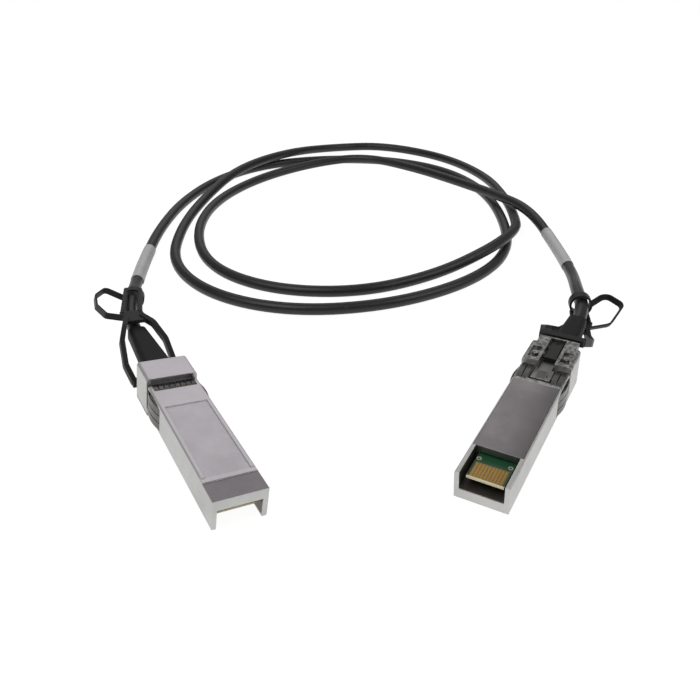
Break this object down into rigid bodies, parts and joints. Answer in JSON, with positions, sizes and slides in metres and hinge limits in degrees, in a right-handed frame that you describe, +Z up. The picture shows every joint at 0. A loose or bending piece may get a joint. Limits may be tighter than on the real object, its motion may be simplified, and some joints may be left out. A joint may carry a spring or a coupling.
{
  "type": "direct attach copper cable",
  "caption": "Twinax cable in loose turns with a latched pluggable metal end fixed on each end, each with a strain relief boot and a pull lanyard.",
  "frame": {"origin": "on the floor, under the middle of the two plugs and their lanyards", "axes": "+X from the left plug to the right plug, +Y from the plugs towards the turns of the cable, +Z up from the floor"},
  "size_m": [0.1698, 0.3039, 0.0148],
  "materials": {
    "cast_metal": "satin nickel-plated die casting",
    "cover_metal": "dark satin plated plate",
    "collar_metal": "satin spring sheet",
    "board": "green coated glass-fibre board",
    "gold": "thin gold plating",
    "chip_black": "moulded component body",
    "core_white": "extruded core insulation",
    "ferrule_metal": "tinned crimp sleeve",
    "boot_black": "matte moulded strain relief",
    "steel": "stamped spring steel",
    "slide_black": "black coated stamping",
    "pull_black": "matte moulded pull",
    "cable_black": "satin extruded jacket",
    "label_grey": "bare wrap label"
  },
  "bodies": {
    "root": {"cable": "cable_black", "left_upper_shell": "cast_metal", "left_lower_cover": "cover_metal", "left_emi_collar": "collar_metal", "left_paddle_card": "board", "left_gold_contacts": "gold", "left_card_parts": "chip_black", "left_twinax_conductors": "core_white", "left_crimp_ferrule": "ferrule_metal", "left_boot": "boot_black", "left_pivot_pin": "steel", "left_latch_spring": "steel", "left_cable_label": "label_grey", "right_upper_shell": "cast_metal", "right_lower_cover": "cover_metal", "right_emi_collar": "collar_metal", "right_paddle_card": "board", "right_gold_contacts": "gold", "right_card_parts": "chip_black", "right_twinax_conductors": "core_white", "right_crimp_ferrule": "ferrule_metal", "right_boot": "boot_black", "right_pivot_pin": "steel", "right_latch_spring": "steel", "right_cable_label": "label_grey"},
    "left_release": {"left_release_slide": "slide_black", "left_pull_lanyard": "pull_black"},
    "left_latch": {"left_latch_lever": "steel"},
    "right_release": {"right_release_slide": "slide_black", "right_pull_lanyard": "pull_black"},
    "right_latch": {"right_latch_lever": "steel"}
  },
  "joints": [
    {"name": "left_release_slide", "type": "slide", "parent": "root", "child": "left_release", "axis": [-0.499, 0.8657, 0.0384], "range_m": [0, 0.0022], "stiffness_N_per_m": 200, "springref_m": -0.004},
    {"name": "left_latch_pivot", "type": "hinge", "parent": "root", "child": "left_latch", "pos_m": [-0.05613, 0.00277, 0.00404], "axis": [-0.855, -0.4991, 0.1413], "range_deg": [0, 3.2], "deforming": ["left_latch_spring"]},
    {"name": "right_release_slide", "type": "slide", "parent": "root", "child": "right_release", "axis": [0.4968, 0.8643, 0.0792], "range_m": [0, 0.0022], "stiffness_N_per_m": 200, "springref_m": -0.004},
    {"name": "right_latch_pivot", "type": "hinge", "parent": "root", "child": "right_latch", "pos_m": [0.0565, 0.00857, 0.01203], "axis": [0.8654, -0.5002, 0.0308], "range_deg": [0, 3.2], "deforming": ["right_latch_spring"]}
  ],
  "couplings": [
    {"joint": "left_latch_pivot", "follows": "left_release_slide", "rad_per_m": 24.5},
    {"joint": "right_latch_pivot", "follows": "right_release_slide", "rad_per_m": 24.5}
  ]
}
